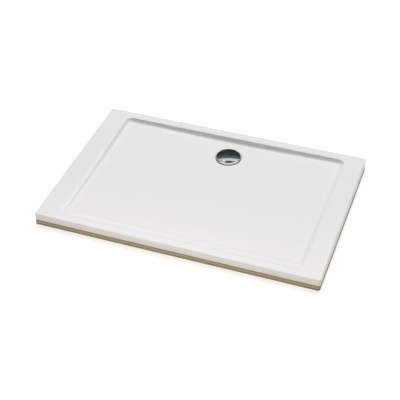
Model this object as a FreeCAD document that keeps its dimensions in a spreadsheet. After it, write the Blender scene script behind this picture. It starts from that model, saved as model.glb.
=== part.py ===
import FreeCAD, Part

import math
import os

import Sketcher
from FreeCAD import Placement, Rotation, Vector

# Low shower tray, 1200 x 800 x 55 mm: an acrylic shell on a board, with its 90 mm waste.
# Frame: origin at the centre of the underside, +X along the length, +Y to the edge
# beside the waste, +Z up.  Every length is in millimetres and every angle in degrees.

doc = FreeCAD.newDocument("shower_tray")

# ------------------------------------------------------------------------------------
# Driving dimensions
# ------------------------------------------------------------------------------------

DIMENSIONS = [
    # The outside of the tray
    ("tray_length", 1200),
    ("tray_width", 800),
    ("tray_height", 55),
    ("board_thickness", 25),
    ("corner_radius", 9),
    ("edge_radius", 4),
    ("acrylic_thickness", 4),
    ("laminate_thickness", 3),
    # Flat rim, from the outer edge to where the surface starts to fall
    ("rim_back", 43),
    ("rim_front", 24),
    ("rim_left_at_back", 56),
    ("rim_left_at_front", 70),
    ("rim_right_at_back", 44),
    ("rim_right_at_front", 54),
    # Depth of the floor below the rim, where it meets the walls and at the waste
    ("depth_back_corners", 17),
    ("depth_back_middle", 21.5),
    ("depth_front", 12.5),
    ("depth_waste", 22.5),
    # Sections of the walls: a convex roll off the rim, then a concave cove to the floor
    ("side_roll_radius", 66),
    ("side_cove_radius", 14),
    ("front_roll_radius", 120),
    ("front_cove_radius", 50),
    ("back_roll_radius", 2.5),
    ("back_cove_radius", 14),
    ("back_wall_angle", 84),
    ("plan_radius_rim", 46),
    ("plan_radius_floor", 24),
    # Waste position and the seat sunk into the floor for it
    ("waste_x", 22),
    ("waste_y", 242),
    ("dish_half_width", 76),
    ("dish_corner_radius", 62),
    ("dish_fall", 0.4),
    ("seat_radius", 58),
    ("seat_flare", 2),
    ("seat_depth", 3.5),
    ("waste_hole_radius", 45),
    ("laminate_hole_radius", 60),
    ("board_hole_radius", 70),
    # Timber battens that carry the rim
    ("batten_width", 30),
    ("back_batten_width", 24),
    ("front_batten_width", 15),
    ("batten_bedding", 1),
    # Gaskets and the steel flange that clamp the acrylic round the waste hole
    ("gasket_bore_radius", 46),
    ("lower_gasket_thickness", 2),
    ("upper_gasket_thickness", 1.5),
    ("flange_sheet", 1.5),
    ("flange_radius", 56),
    ("flange_drop", 5),
    ("flange_neck_radius", 44.2),
    ("flange_opening_radius", 31),
    ("flange_hole_radius", 2.2),
    # Waste body under the tray, with a spigot that ends level with the underside
    ("body_flange_radius", 58),
    ("body_flange_thickness", 4),
    ("cup_radius", 45),
    ("cup_wall", 3),
    ("cup_bottom_height", 12),
    ("spigot_radius", 25),
    ("spigot_bore_radius", 22.5),
    ("cup_fall", 1.5),
    # Four screws through the flange into brass inserts in the waste body
    ("fixing_circle_radius", 38.5),
    ("fixing_count", 4),
    ("boss_radius", 5),
    ("boss_lift", 0.5),
    ("insert_radius", 3),
    ("insert_length", 8),
    ("insert_pocket", 9),
    ("screw_radius", 1.95),
    ("screw_length", 12.5),
    ("screw_head_radius", 3.5),
    ("screw_head_height", 2.2),
    ("screw_recess_width", 1.1),
    ("screw_recess_length", 4),
    ("screw_recess_depth", 1.3),
    # Hair strainer that hangs in the flange by its rim
    ("strainer_rim_radius", 34.4),
    ("strainer_rim_thickness", 1.5),
    ("strainer_body_radius", 30.2),
    ("strainer_wall", 1.8),
    ("strainer_depth", 11),
    ("strainer_slot_width", 3),
    ("side_slot_foot", 1),
    ("side_slot_top", 1.5),
    ("side_slot_inward", 3),
    ("side_slot_outward", 1),
    ("floor_slot_inner", 2),
    ("floor_slot_outer", 5),
    ("strainer_side_slots", 16),
    ("strainer_floor_slots", 8),
    ("grip_stem_radius", 2.6),
    ("grip_radius", 5.5),
    ("grip_height", 16),
    ("grip_thickness", 2.5),
    # Cover: a pressed dome on a moulded carrier with four legs
    ("cover_radius", 54.5),
    ("cover_crown_radius", 50.1),
    ("cover_rise", 3.1),
    ("cover_top", 43.5),
    ("cover_lip", 5),
    ("cover_sheet", 1.2),
    ("carrier_radius", 43),
    ("carrier_opening_radius", 15),
    ("carrier_fall", 2),
    ("carrier_thickness", 2),
    ("carrier_gap", 0.05),
    ("leg_outer_radius", 42.3),
    ("leg_thickness", 2.8),
    ("leg_width", 10),
]


class Size:
    """A length that knows its number and the sheet expression that gives it."""

    def __init__(self, number, text):
        self.number = float(number)
        self.text = text

    @staticmethod
    def wrap(value):
        return value if isinstance(value, Size) else Size(value, repr(float(value)))

    def __add__(self, other):
        other = Size.wrap(other)
        return Size(self.number + other.number, f"({self.text} + {other.text})")

    def __sub__(self, other):
        other = Size.wrap(other)
        return Size(self.number - other.number, f"({self.text} - {other.text})")

    def __mul__(self, other):
        other = Size.wrap(other)
        return Size(self.number * other.number, f"{self.text} * {other.text}")

    def __neg__(self):
        return Size(-self.number, f"(-1 * {self.text})")


def fill_sheet():
    """Put the driving dimensions in a sheet and return them as sizes by name."""
    sheet = doc.addObject("Spreadsheet::Sheet", "Sizes")
    sizes = {}
    for row, (alias, number) in enumerate(DIMENSIONS, start=1):
        sheet.set(f"A{row}", alias)
        sheet.set(f"B{row}", str(number))
        sheet.setAlias(f"B{row}", alias)
        sizes[alias] = Size(number, f"Sizes.{alias}")
    doc.recompute()
    return sizes


SIZES = fill_sheet()


def size(name):
    return SIZES[name]


def number(name):
    return SIZES[name].number


# Heights above the underside, worked out from the driving dimensions
RIM_TOP = size("tray_height")
BOARD_TOP = size("board_thickness")
SEAT_TOP = RIM_TOP - size("depth_waste") - size("seat_depth")
SEAT_UNDERSIDE = SEAT_TOP - size("acrylic_thickness")
BODY_TOP = SEAT_UNDERSIDE - size("lower_gasket_thickness")
FLANGE_SEAT = SEAT_TOP + size("upper_gasket_thickness")
FLANGE_TOP = FLANGE_SEAT + size("flange_sheet")
LEDGE_TOP = FLANGE_TOP - size("flange_drop")

# ------------------------------------------------------------------------------------
# Helpers for sketches, bodies and groups
# ------------------------------------------------------------------------------------


def new_body(label):
    body = doc.addObject("PartDesign::Body", label)
    body.Label = label
    return body


def new_sketch(body, name, plane_role):
    """A sketch on one of the body's own origin planes."""
    sketch = body.newObject("Sketcher::SketchObject", name)
    plane = [item for item in body.Origin.OriginFeatures if item.Role == plane_role][0]
    sketch.AttachmentSupport = [(plane, "")]
    sketch.MapMode = "FlatFace"
    return sketch


def constrain(sketch, kind, *arguments):
    """Add a dimension; its last argument is the size that drives it."""
    value = Size.wrap(arguments[-1])
    index = sketch.addConstraint(Sketcher.Constraint(kind, *arguments[:-1], value.number))
    sketch.setExpression(f"Constraints[{index}]", value.text)


def place_corner(sketch, line, corner, across, up):
    """Hold the start of a line at (across, up) from the sketch's origin."""
    for kind, value in (("DistanceX", Size.wrap(across)), ("DistanceY", Size.wrap(up))):
        if value.number == 0:
            axis = -2 if kind == "DistanceX" else -1
            sketch.addConstraint(Sketcher.Constraint("PointOnObject", line, corner, axis))
        else:
            constrain(sketch, kind, -1, 1, line, corner, value)


def draw_outline(sketch, corners):
    """A closed outline of straight sides through corners given as (across, up)."""
    points = [Vector(Size.wrap(a).number, Size.wrap(b).number, 0) for a, b in corners]
    count = len(points)
    for index, start in enumerate(points):
        sketch.addGeometry(Part.LineSegment(start, points[(index + 1) % count]))
    for index in range(count):
        following = (index + 1) % count
        sketch.addConstraint(Sketcher.Constraint("Coincident", index, 2, following, 1))
        place_corner(sketch, index, 1, *corners[index])


def draw_circle(sketch, across, up, radius):
    centre = Vector(Size.wrap(across).number, Size.wrap(up).number, 0)
    index = sketch.addGeometry(Part.Circle(centre, Vector(0, 0, 1), radius.number))
    place_corner(sketch, index, 3, across, up)
    constrain(sketch, "Radius", index, radius)


def turned_body(label, corners):
    """A body turned about its upright axis from a section given as (radius, height)."""
    body = new_body(label)
    sketch = new_sketch(body, label + "_section", "XZ_Plane")
    draw_outline(sketch, corners)
    turn = body.newObject("PartDesign::Revolution", label + "_turn")
    turn.Profile = sketch
    turn.ReferenceAxis = (sketch, ["V_Axis"])
    turn.Angle = 360
    sketch.Visibility = False
    body.Placement.Base = Vector(number("waste_x"), number("waste_y"), 0)
    body.setExpression("Placement.Base.x", "Sizes.waste_x")
    body.setExpression("Placement.Base.y", "Sizes.waste_y")
    doc.recompute()
    return body


# A repeated feature that changes a body by less than this, in cubic mm, has missed it
LEAST_CHANGE = 1.0


def add_round(body, name, kind, height, up, draw, count):
    """Pads or pockets drawn on a level plane and repeated about the body's axis."""
    sketch = new_sketch(body, name + "_sketch", "XY_Plane")
    sketch.AttachmentOffset = Placement(Vector(0, 0, height.number), Rotation())
    sketch.setExpression("AttachmentOffset.Base.z", height.text)
    draw(sketch)
    before = body.Shape.Volume
    feature = body.newObject("PartDesign::" + kind, name)
    feature.Profile = sketch
    feature.Length = up.number
    feature.setExpression("Length", up.text)
    feature.Reversed = kind == "Pocket"
    sketch.Visibility = False
    doc.recompute()
    pattern = body.newObject("PartDesign::PolarPattern", name + "_pattern")
    pattern.Originals = [feature]
    pattern.Axis = (sketch, ["N_Axis"])
    pattern.Angle = 360
    pattern.Occurrences = int(count.number)
    pattern.setExpression("Occurrences", count.text)
    body.Tip = pattern
    doc.recompute()
    change = body.Shape.Volume - before
    if (kind == "Pad") != (change > 0) or abs(change) < LEAST_CHANGE:
        raise RuntimeError(f"{name} changed the volume by {change}")
    return pattern


def round_edges(body, base, radius, choose, name):
    """Round the edges of a feature that choose accepts."""
    edges = [f"Edge{i}" for i, edge in enumerate(base.Shape.Edges, start=1) if choose(edge)]
    fillet = body.newObject("PartDesign::Fillet", name)
    fillet.Base = (base, edges)
    fillet.Radius = radius.number
    fillet.setExpression("Radius", radius.text)
    doc.recompute()
    return fillet


def is_upright(edge):
    start, end = edge.Vertexes[0].Point, edge.Vertexes[-1].Point
    return abs(start.z - end.z) > 1 and math.hypot(start.x - end.x, start.y - end.y) < 0.01


def at_height(height):
    def choose(edge):
        box = edge.BoundBox
        return abs(box.ZMin - height) < 0.01 and abs(box.ZMax - height) < 0.01
    return choose


def rounded_block(label, inset, bottom, top):
    """A block with the tray's outline, moved in by inset, with rounded upright corners."""
    body = new_body(label)
    sketch = new_sketch(body, label + "_outline", "XY_Plane")
    half_length = size("tray_length") * 0.5 - inset
    half_width = size("tray_width") * 0.5 - inset
    draw_outline(sketch, [
        (-half_length, -half_width),
        (half_length, -half_width),
        (half_length, half_width),
        (-half_length, half_width),
    ])
    height = Size.wrap(top) - bottom
    pad = body.newObject("PartDesign::Pad", label + "_pad")
    pad.Profile = sketch
    pad.Length = height.number
    pad.setExpression("Length", height.text)
    body.Placement.Base.z = Size.wrap(bottom).number
    body.setExpression("Placement.Base.z", Size.wrap(bottom).text)
    sketch.Visibility = False
    doc.recompute()
    round_edges(body, pad, size("corner_radius") - inset, is_upright, label + "_corners")
    return body


def cylinder(name, radius, bottom, top):
    """An upright cylinder about the waste's axis."""
    shape = doc.addObject("Part::Cylinder", name)
    height = Size.wrap(top) - bottom
    shape.setExpression("Radius", radius.text)
    shape.setExpression("Height", height.text)
    shape.setExpression("Placement.Base.x", "Sizes.waste_x")
    shape.setExpression("Placement.Base.y", "Sizes.waste_y")
    shape.setExpression("Placement.Base.z", Size.wrap(bottom).text)
    return shape


def cut(label, base, tool):
    result = doc.addObject("Part::Cut", label)
    result.Label = label
    result.Base = base
    result.Tool = tool
    return result


def around_waste(shape, count, first_angle=0.0):
    """Copies of a shape, made about the upright axis, turned round the waste's axis."""
    centre = Vector(number("waste_x"), number("waste_y"), 0)
    copies = []
    for index in range(count):
        turn = Rotation(Vector(0, 0, 1), first_angle + 360.0 * index / count)
        copy = shape.copy()
        copy.Placement = Placement(centre, turn)
        copies.append(copy)
    return copies


def group(label, shapes):
    """Separate solids that share one node."""
    feature = doc.addObject("Part::Feature", label)
    feature.Label = label
    feature.Shape = Part.makeCompound(shapes)
    return feature


# ------------------------------------------------------------------------------------
# The basin: one form for the surface, and two more for the backs of acrylic and laminate
# ------------------------------------------------------------------------------------

SURFACE_STEPS = (6, 4)
BACK_STEPS = (3, 2)
BACK_CHORDS = 3
SEW_TOLERANCE = 0.001
LIFT_ABOVE_RIM = 5.0
TIGHT_ROUND = 0.5


def wall_section(roll, cove, depth, steepest, offset, steps):
    """Points (inset, drop) down a wall: roll, straight if any is left, and cove.

    A wall that is too shallow for its steepest angle rolls straight into its cove, and
    its points then stand half a step to either side of where the two meet.
    """
    shallow = math.acos(max(-1.0, 1.0 - depth / (roll + cove)))
    angle = min(steepest, shallow)
    half_step = 0.5 if angle < steepest else 0.0
    roll_run, roll_drop = roll * math.sin(angle), roll * (1 - math.cos(angle))
    cove_run, cove_drop = cove * math.sin(angle), cove * (1 - math.cos(angle))
    straight_drop = max(0.0, depth - roll_drop - cove_drop)
    foot = roll_run + straight_drop / math.tan(angle) + cove_run
    roll_steps, cove_steps = steps
    points = []
    for step in range(roll_steps + 1):
        turn = angle * step / (roll_steps + half_step)
        if roll > offset:
            inset = (roll - offset) * math.sin(turn)
            drop = roll - (roll - offset) * math.cos(turn)
        else:
            # The back of a roll that is tighter than the sheet is a small round
            edge = (roll - offset - TIGHT_ROUND) * math.sin(angle)
            inset = edge + TIGHT_ROUND * math.sin(turn)
            drop = offset + TIGHT_ROUND * (1 - math.cos(turn))
        points.append((inset, drop))
    for step in range(cove_steps + 1):
        turn = angle * (1 - (step + half_step) / (cove_steps + half_step))
        inset = foot - (cove + offset) * math.sin(turn)
        drop = depth - cove + (cove + offset) * math.cos(turn)
        points.append((inset, drop))
    return points


def corner_edges(start, bend, end, chords):
    """A round corner as one arc, or as chords of it where chords is not zero."""
    if chords == 0:
        return [Part.Arc(start, bend, end).toShape()]
    arc = Part.Arc(start, bend, end)
    points = arc.discretize(chords + 1)
    return [Part.makeLine(points[step], points[step + 1]) for step in range(chords)]


def ring(corners, heights, back_middle_height, radius, chords):
    """The edges of a closed ring of four sides and four corners, in order.

    corners are the places of the front left, front right, back right and back left
    corners in plan, and heights the heights of both ends of the front, right, back and
    left sides.  The back side sags in two lines to back_middle_height by the waste.
    """
    sides = []
    directions = []
    rise = Vector(0, 0, 1)
    for index in range(4):
        start, end = corners[index], corners[(index + 1) % 4]
        along = (end - start).normalize()
        first = start + along * radius + rise * heights[index][0]
        last = end - along * radius + rise * heights[index][1]
        sides.append((first, last))
        directions.append(along)
    edges = []
    for index, (first, last) in enumerate(sides):
        if index == 2:
            sag = Vector(number("waste_x"), (first.y + last.y) / 2, back_middle_height)
            edges.append(Part.makeLine(first, sag))
            edges.append(Part.makeLine(sag, last))
        else:
            edges.append(Part.makeLine(first, last))
        following = (index + 1) % 4
        inward = directions[following] - directions[index]
        bend = corners[following] + inward * radius * (1 - math.sqrt(0.5))
        bend.z = (last.z + sides[following][0].z) / 2
        edges += corner_edges(last, bend, sides[following][0], chords)
    return edges


def ends_of(edge):
    return edge.valueAt(edge.FirstParameter), edge.valueAt(edge.LastParameter)


def chord_ring(edges):
    """The ring that joins the ends of another ring's edges with straight lines."""
    return [Part.makeLine(*ends_of(edge)) for edge in edges]


def round_ring(outline, radius, height):
    """A circle about the waste, divided where the rays to an outline's corners cross."""
    centre = Vector(number("waste_x"), number("waste_y"), height)
    starts = [ends_of(edge)[0] for edge in outline]
    angles = [math.atan2(start.y - centre.y, start.x - centre.x) for start in starts]
    edges = []
    for index, first in enumerate(angles):
        last = angles[(index + 1) % len(angles)]
        while last < first:
            last += 2 * math.pi
        points = []
        for angle in (first, (first + last) / 2, last):
            points.append(centre + Vector(math.cos(angle), math.sin(angle), 0) * radius)
        edges.append(Part.Arc(*points).toShape())
    return edges


def polygon_face(points):
    return Part.Face(Part.makePolygon(points + [points[0]]))


def strip(upper, lower):
    """The faces between two rings: flat where both edges are straight, else ruled."""
    faces = []
    for above, below in zip(upper, lower):
        if above.Curve.TypeId == below.Curve.TypeId == "Part::GeomLine":
            a, b = ends_of(above)
            c, d = ends_of(below)
            if (d - c).Length < 0.01:
                faces.append(polygon_face([a, b, c]))
            else:
                faces.append(polygon_face([a, b, d]))
                faces.append(polygon_face([a, d, c]))
        else:
            faces.append(Part.makeRuledSurface(above, below))
    return faces


def landings(curved, straight):
    """Level faces between the arcs of a ring and the chords that stand in for them."""
    faces = []
    for arc, chord in zip(curved, straight):
        if arc.Curve.TypeId != "Part::GeomLine":
            faces.append(Part.Face(Part.Wire([arc, chord])))
    return faces


def basin_form(label, offset, steps, chords):
    """The hollow of the basin, grown by offset, as a solid to take away.

    Rings run down the walls, and flat falls run from the last of them to an eight-sided
    dish, whose ring of arcs leads on to the round seat of the waste.
    """
    half_length = number("tray_length") / 2
    half_width = number("tray_width") / 2
    rim = number("tray_height")
    steepest = math.radians(number("back_wall_angle"))
    depth_back, depth_front = number("depth_back_corners"), number("depth_front")

    def wall(kind, depth):
        roll, cove = number(kind + "_roll_radius"), number(kind + "_cove_radius")
        return wall_section(roll, cove, depth, steepest, offset, steps)

    side_back, side_front = wall("side", depth_back), wall("side", depth_front)
    back_end, back_middle = wall("back", depth_back), wall("back", number("depth_back_middle"))
    front_wall = wall("front", depth_front)
    rings = []
    for index, (side_inset, side_drop) in enumerate(side_back):
        share = index / (len(side_back) - 1)
        front_inset, front_drop = side_front[index]
        left_front = -half_length + number("rim_left_at_front") + front_inset
        left_back = -half_length + number("rim_left_at_back") + side_inset
        right_front = half_length - number("rim_right_at_front") - front_inset
        right_back = half_length - number("rim_right_at_back") - side_inset
        front_line = -half_width + number("rim_front") + front_wall[index][0]
        back_line = half_width - number("rim_back") - back_end[index][0]
        corners = [
            Vector(left_front, front_line, 0),
            Vector(right_front, front_line, 0),
            Vector(right_back, back_line, 0),
            Vector(left_back, back_line, 0),
        ]
        front_height = rim - front_wall[index][1]
        back_height = rim - back_end[index][1]
        heights = [
            (front_height, front_height),
            (rim - front_drop, rim - side_drop),
            (back_height, back_height),
            (rim - side_drop, rim - front_drop),
        ]
        radius_rim, radius_floor = number("plan_radius_rim"), number("plan_radius_floor")
        radius = radius_rim + (radius_floor - radius_rim) * share
        rings.append(ring(corners, heights, rim - back_middle[index][1], radius, chords))
    lid = [edge.translated(Vector(0, 0, LIFT_ABOVE_RIM)) for edge in rings[0]]
    floor_height = rim - number("depth_waste") - offset
    seat_height = floor_height - number("seat_depth")
    seat_edge = number("seat_radius") + offset
    half = number("dish_half_width")
    x, y, dish_height = number("waste_x"), number("waste_y"), floor_height + number("dish_fall")
    corners = [Vector(x + half * i, y + half * j, 0) for i, j in ((-1, -1), (1, -1), (1, 1), (-1, 1))]
    levels = [(dish_height, dish_height)] * 4
    dish = ring(corners, levels, dish_height, number("dish_corner_radius"), chords)
    floor_end = round_ring(dish, seat_edge + number("seat_flare"), floor_height)
    seat_floor = round_ring(dish, seat_edge, seat_height)
    foot, dish_chords = chord_ring(rings[-1]), chord_ring(dish)
    walls = [lid] + rings
    faces = [Part.Face(Part.Wire(lid)), Part.Face(Part.Wire(seat_floor))]
    for upper, lower in zip(walls, walls[1:]):
        faces += strip(upper, lower)
    faces += landings(rings[-1], foot) + strip(foot, dish_chords) + landings(dish, dish_chords)
    faces += strip(dish, floor_end) + strip(floor_end, seat_floor)
    sewn = Part.makeCompound(faces)
    sewn.sewShape(SEW_TOLERANCE)
    solid = Part.Solid(sewn.Shells[0])
    if solid.Volume < 0:
        solid.reverse()
    form = doc.addObject("Part::Feature", label)
    form.Label = label
    form.Shape = solid
    return form


acrylic = number("acrylic_thickness")
laminate_depth = acrylic + number("laminate_thickness")
basin_surface = basin_form("basin_surface", 0.0, SURFACE_STEPS, 0)
acrylic_back = basin_form("acrylic_back", acrylic, BACK_STEPS, BACK_CHORDS)
laminate_back = basin_form("laminate_back", laminate_depth, BACK_STEPS, BACK_CHORDS)

# ------------------------------------------------------------------------------------
# Tray: acrylic shell, laminate behind it, core, battens and board
# ------------------------------------------------------------------------------------

shell_inset = size("acrylic_thickness")
laminate_inset = shell_inset + size("laminate_thickness")

shell_block = rounded_block("shell_block", Size.wrap(0), BOARD_TOP, RIM_TOP)
rim_edges = at_height(number("tray_height") - number("board_thickness"))
round_edges(shell_block, shell_block.Tip, size("edge_radius"), rim_edges, "rim_edge_round")
laminate_block = rounded_block("laminate_block", shell_inset, BOARD_TOP, RIM_TOP - shell_inset)
core_block = rounded_block("core_block", laminate_inset, BOARD_TOP, RIM_TOP - laminate_inset)

laminate_space = cut("laminate_space", laminate_block, acrylic_back)
core_space = cut("core_space", core_block, laminate_back)

waste_hole = cylinder("waste_hole", size("waste_hole_radius"), 0, RIM_TOP)
shell_with_basin = cut("shell_with_basin", shell_block, basin_surface)
hollow_shell = cut("hollow_shell", shell_with_basin, laminate_space)
tray_shell = cut("tray_shell", hollow_shell, waste_hole)

laminate_hole = cylinder("laminate_hole", size("laminate_hole_radius"), 0, RIM_TOP)
laminate_sheet = cut("laminate_sheet", laminate_space, core_space)
reinforcement_layer = cut("reinforcement_layer", laminate_sheet, laminate_hole)

# The core runs over the battens as a thin bed between them and the laminate
batten_height = RIM_TOP - laminate_inset - BOARD_TOP - size("batten_bedding")
inner_length = size("tray_length") - laminate_inset * 2
inner_width = size("tray_width") - laminate_inset * 2


def batten(label, length, width, left, front):
    """A timber batten under the rim, standing on the board."""
    box = doc.addObject("Part::Box", label)
    box.Label = label
    box.setExpression("Length", length.text)
    box.setExpression("Width", width.text)
    box.setExpression("Height", batten_height.text)
    box.setExpression("Placement.Base.x", left.text)
    box.setExpression("Placement.Base.y", front.text)
    box.setExpression("Placement.Base.z", BOARD_TOP.text)
    return box


side_width = size("batten_width")
back_width = size("back_batten_width")
# The side battens stop where the inside corners of the laminate begin to bend
corner_bend = size("corner_radius") - laminate_inset
side_length = inner_width - corner_bend * 2
between_length = inner_length - side_width * 2
left_side = inner_length * -0.5
front_side = inner_width * -0.5

left_batten = batten("left_batten", side_width, side_length, left_side, front_side + corner_bend)
right_batten = batten(
    "right_batten", side_width, side_length, -left_side - side_width, front_side + corner_bend)
front_batten = batten(
    "front_batten", between_length, size("front_batten_width"), left_side + side_width, front_side)
back_batten = batten(
    "back_batten", between_length, back_width, left_side + side_width, -front_side - back_width)

battens = doc.addObject("Part::MultiFuse", "battens")
battens.Shapes = [left_batten, right_batten, front_batten, back_batten]
core_hole = cylinder("core_hole", size("board_hole_radius"), 0, RIM_TOP)
core_around_battens = cut("core_around_battens", core_space, battens)
core_filler = cut("core_filler", core_around_battens, core_hole)

board_block = rounded_block("board_block", Size.wrap(0), Size.wrap(0), BOARD_TOP)
board_hole = cylinder("board_hole", size("board_hole_radius"), 0, BOARD_TOP)
base_board = cut("base_board", board_block, board_hole)

# ------------------------------------------------------------------------------------
# Waste: gaskets, flange, body, inserts and screws
# ------------------------------------------------------------------------------------


def flat_ring(label, inner, outer, bottom, thickness):
    top = bottom + thickness
    return turned_body(label, [(inner, bottom), (outer, bottom), (outer, top), (inner, top)])


def circle_at(radius, reach):
    def draw(sketch):
        draw_circle(sketch, reach, Size.wrap(0), radius)
    return draw


def hexagon_at(radius, reach):
    """A hexagon of that radius over its corners, one corner pointing away from the waste axis."""
    half, side = radius * 0.5, radius * math.sin(math.radians(60))

    def draw(sketch):
        draw_outline(sketch, [
            (reach + radius, Size.wrap(0)), (reach + half, side), (reach - half, side),
            (reach - radius, Size.wrap(0)), (reach - half, -side), (reach + half, -side),
        ])
    return draw


def slot_at(start, end, width):
    def draw(sketch):
        half = width * 0.5
        draw_outline(sketch, [(start, -half), (end, -half), (end, half), (start, half)])
    return draw


gasket_bore = size("gasket_bore_radius")
lower_gasket = flat_ring(
    "lower_gasket", gasket_bore, size("body_flange_radius"), BODY_TOP, size("lower_gasket_thickness"))
upper_gasket = flat_ring(
    "upper_gasket", gasket_bore, size("flange_radius"), SEAT_TOP, size("upper_gasket_thickness"))

sheet_thickness = size("flange_sheet")
neck = size("flange_neck_radius")
opening = size("flange_opening_radius")
ledge_bottom = LEDGE_TOP - sheet_thickness
waste_flange = turned_body("waste_flange", [
    (opening, ledge_bottom),
    (neck, ledge_bottom),
    (neck, FLANGE_SEAT),
    (size("flange_radius"), FLANGE_SEAT),
    (size("flange_radius"), FLANGE_TOP),
    (neck - sheet_thickness, FLANGE_TOP),
    (neck - sheet_thickness, LEDGE_TOP),
    (opening, LEDGE_TOP),
])
fixing = size("fixing_circle_radius")
fixings = size("fixing_count")
add_round(waste_flange, "flange_holes", "Pocket", ledge_bottom, sheet_thickness,
          circle_at(size("flange_hole_radius"), fixing), fixings)

spigot, spigot_bore = size("spigot_radius"), size("spigot_bore_radius")
cup, cup_inside = size("cup_radius"), size("cup_radius") - size("cup_wall")
body_flange, cup_bottom = size("body_flange_radius"), size("cup_bottom_height")
flange_underside = BODY_TOP - size("body_flange_thickness")
waste_body = turned_body("waste_body", [
    (spigot_bore, 0),
    (spigot, 0),
    (spigot, cup_bottom),
    (cup, cup_bottom),
    (cup, flange_underside),
    (body_flange, flange_underside),
    (body_flange, BODY_TOP),
    (cup_inside, BODY_TOP),
    (cup_inside, cup_bottom + size("cup_wall")),
    (spigot_bore, cup_bottom + size("cup_wall") - size("cup_fall")),
])
boss_foot = cup_bottom + size("boss_lift")
add_round(waste_body, "bosses", "Pad", boss_foot, BODY_TOP - boss_foot,
          circle_at(size("boss_radius"), fixing), fixings)
pocket_depth = size("insert_pocket")
add_round(waste_body, "insert_pockets", "Pocket", BODY_TOP - pocket_depth, pocket_depth,
          hexagon_at(size("insert_radius"), fixing), fixings)
# Half a step between the fixings and the cover's legs, which stand on the same ledge
half_step = 180.0 / number("fixing_count")
for turned in (waste_flange, waste_body):
    turned.Placement.Rotation = Rotation(Vector(0, 0, 1), half_step)


def insert_shape():
    """A hexagonal threaded insert, moulded into a boss of the waste body."""
    bottom = Vector(number("fixing_circle_radius"), 0, (BODY_TOP - size("insert_length")).number)
    across_corners = number("insert_radius")
    turns = [math.radians(60 * corner) for corner in range(7)]
    corners = [bottom + Vector(math.cos(turn), math.sin(turn), 0) * across_corners for turn in turns]
    outer = Part.Face(Part.makePolygon(corners)).extrude(Vector(0, 0, number("insert_length")))
    return outer.cut(Part.makeCylinder(number("screw_radius"), number("insert_length"), bottom))


def screw_shape():
    """A cheese-head screw with a cross recess, standing on the flange's ledge."""
    seat = Vector(number("fixing_circle_radius"), 0, LEDGE_TOP.number)
    height = number("screw_head_height")
    head = Part.makeCylinder(number("screw_head_radius"), height, seat)
    shank = Part.makeCylinder(number("screw_radius"), number("screw_length"), seat, Vector(0, 0, -1))
    length, width, depth = (number("screw_recess_" + part) for part in ("length", "width", "depth"))
    floor = seat + Vector(0, 0, height - depth)
    arm = Part.makeBox(length, width, depth, floor - Vector(length / 2, width / 2, 0))
    cross_arm = Part.makeBox(width, length, depth, floor - Vector(width / 2, length / 2, 0))
    return head.fuse(shank).cut([arm, cross_arm]).removeSplitter()


fixing_total = int(number("fixing_count"))
screw_inserts = group("screw_inserts", around_waste(insert_shape(), fixing_total, half_step))
flange_screws = group("flange_screws", around_waste(screw_shape(), fixing_total, half_step))

# ------------------------------------------------------------------------------------
# Hair strainer: a basket with a grip, hung in the flange
# ------------------------------------------------------------------------------------

strainer_bottom = LEDGE_TOP - size("strainer_depth")
strainer_floor = strainer_bottom + size("strainer_wall")
strainer_radius = size("strainer_body_radius")
strainer_inside = strainer_radius - size("strainer_wall")
rim_top = LEDGE_TOP + size("strainer_rim_thickness")
grip_top = strainer_floor + size("grip_height")
hair_strainer = turned_body("hair_strainer", [
    (0, strainer_bottom),
    (strainer_radius, strainer_bottom),
    (strainer_radius, LEDGE_TOP),
    (size("strainer_rim_radius"), LEDGE_TOP),
    (size("strainer_rim_radius"), rim_top),
    (strainer_inside, rim_top),
    (strainer_inside, strainer_floor),
    (size("grip_stem_radius"), strainer_floor),
    (size("grip_stem_radius"), grip_top - size("grip_thickness")),
    (size("grip_radius"), grip_top - size("grip_thickness")),
    (size("grip_radius"), grip_top),
    (0, grip_top),
])
slot_width = size("strainer_slot_width")
side_slot_start = strainer_floor + size("side_slot_foot")
side_slot_height = LEDGE_TOP - size("side_slot_top") - side_slot_start
add_round(hair_strainer, "side_slots", "Pocket", side_slot_start, side_slot_height,
          slot_at(strainer_inside - size("side_slot_inward"),
                  strainer_radius + size("side_slot_outward"), slot_width),
          size("strainer_side_slots"))
add_round(hair_strainer, "floor_slots", "Pocket", strainer_bottom, size("strainer_wall"),
          slot_at(size("grip_radius") + size("floor_slot_inner"),
                  strainer_inside - size("floor_slot_outer"), slot_width),
          size("strainer_floor_slots"))

# ------------------------------------------------------------------------------------
# Cover: a pressed dome and the carrier that stands on the flange's ledge
# ------------------------------------------------------------------------------------

top = size("cover_top")
crown, cover_radius = size("cover_crown_radius"), size("cover_radius")
crown_height = top - size("cover_rise")
lip_bottom = crown_height - size("cover_lip")
cover_sheet = size("cover_sheet")
crown_curve = (number("cover_crown_radius") ** 2 + number("cover_rise") ** 2) / (2 * number("cover_rise"))


def crown_ball(label, radius):
    """A ball whose top is the cover's crown.  Its poles lie level, far from the crown."""
    ball = doc.addObject("Part::Sphere", label)
    ball.Label = label
    ball.Radius = radius
    centre = Vector(number("waste_x"), number("waste_y"), number("cover_top") - crown_curve)
    ball.Placement = Placement(centre, Rotation(Vector(1, 0, 0), 90))
    return ball


def common(label, base, tool):
    shared = doc.addObject("Part::Common", label)
    shared.Label = label
    shared.Base = base
    shared.Tool = tool
    return shared


def crown_drop(reach, radius):
    """How far a ball of that radius lies below its top, that far from the waste axis."""
    return radius - math.sqrt(radius ** 2 - reach ** 2)


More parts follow.
